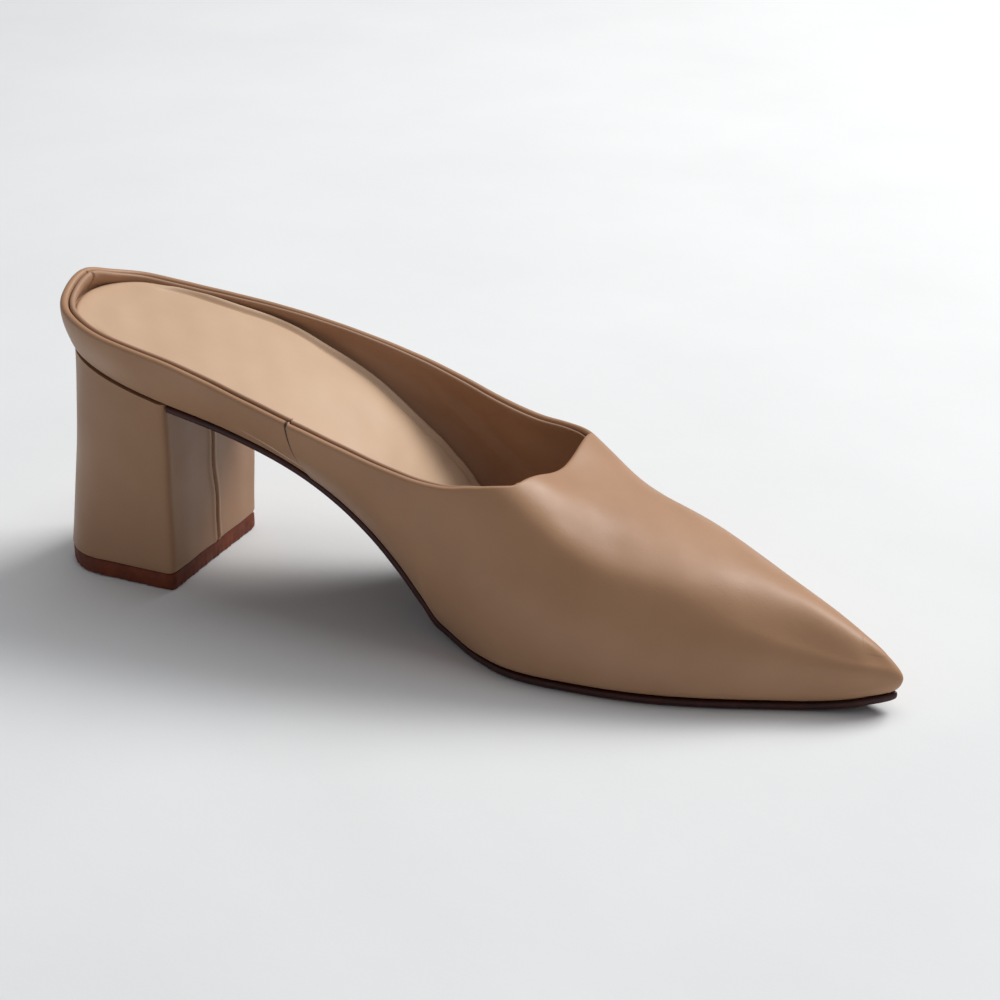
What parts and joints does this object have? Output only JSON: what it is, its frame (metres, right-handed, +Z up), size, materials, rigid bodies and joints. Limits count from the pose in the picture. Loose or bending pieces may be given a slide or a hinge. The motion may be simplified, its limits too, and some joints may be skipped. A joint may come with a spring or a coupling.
{
  "type": "block heel mule",
  "caption": "Backless pointed-toe leather mule on a leather-covered block heel, with a low band round the heel seat, a padded insole and a thin outsole; left shoe.",
  "frame": {"origin": "on the floor, under the middle of the shoe's box", "axes": "+X towards the toe, +Y towards the wearer's outer side, +Z up"},
  "size_m": [0.251, 0.0764, 0.0831],
  "materials": {
    "upper": "smooth satin nude-tan leather",
    "insole": "smooth light beige sock lining over padding",
    "outsole": "dark red-brown sole with a satin edge",
    "heel": "smooth satin nude-tan leather wrapped on a block",
    "top_lift": "matte orange-brown lift"
  },
  "bodies": {
    "root": {"upper": "upper", "insole": "insole", "outsole": "outsole", "heel": "heel", "top_lift": "top_lift"}
  },
  "joints": []
}
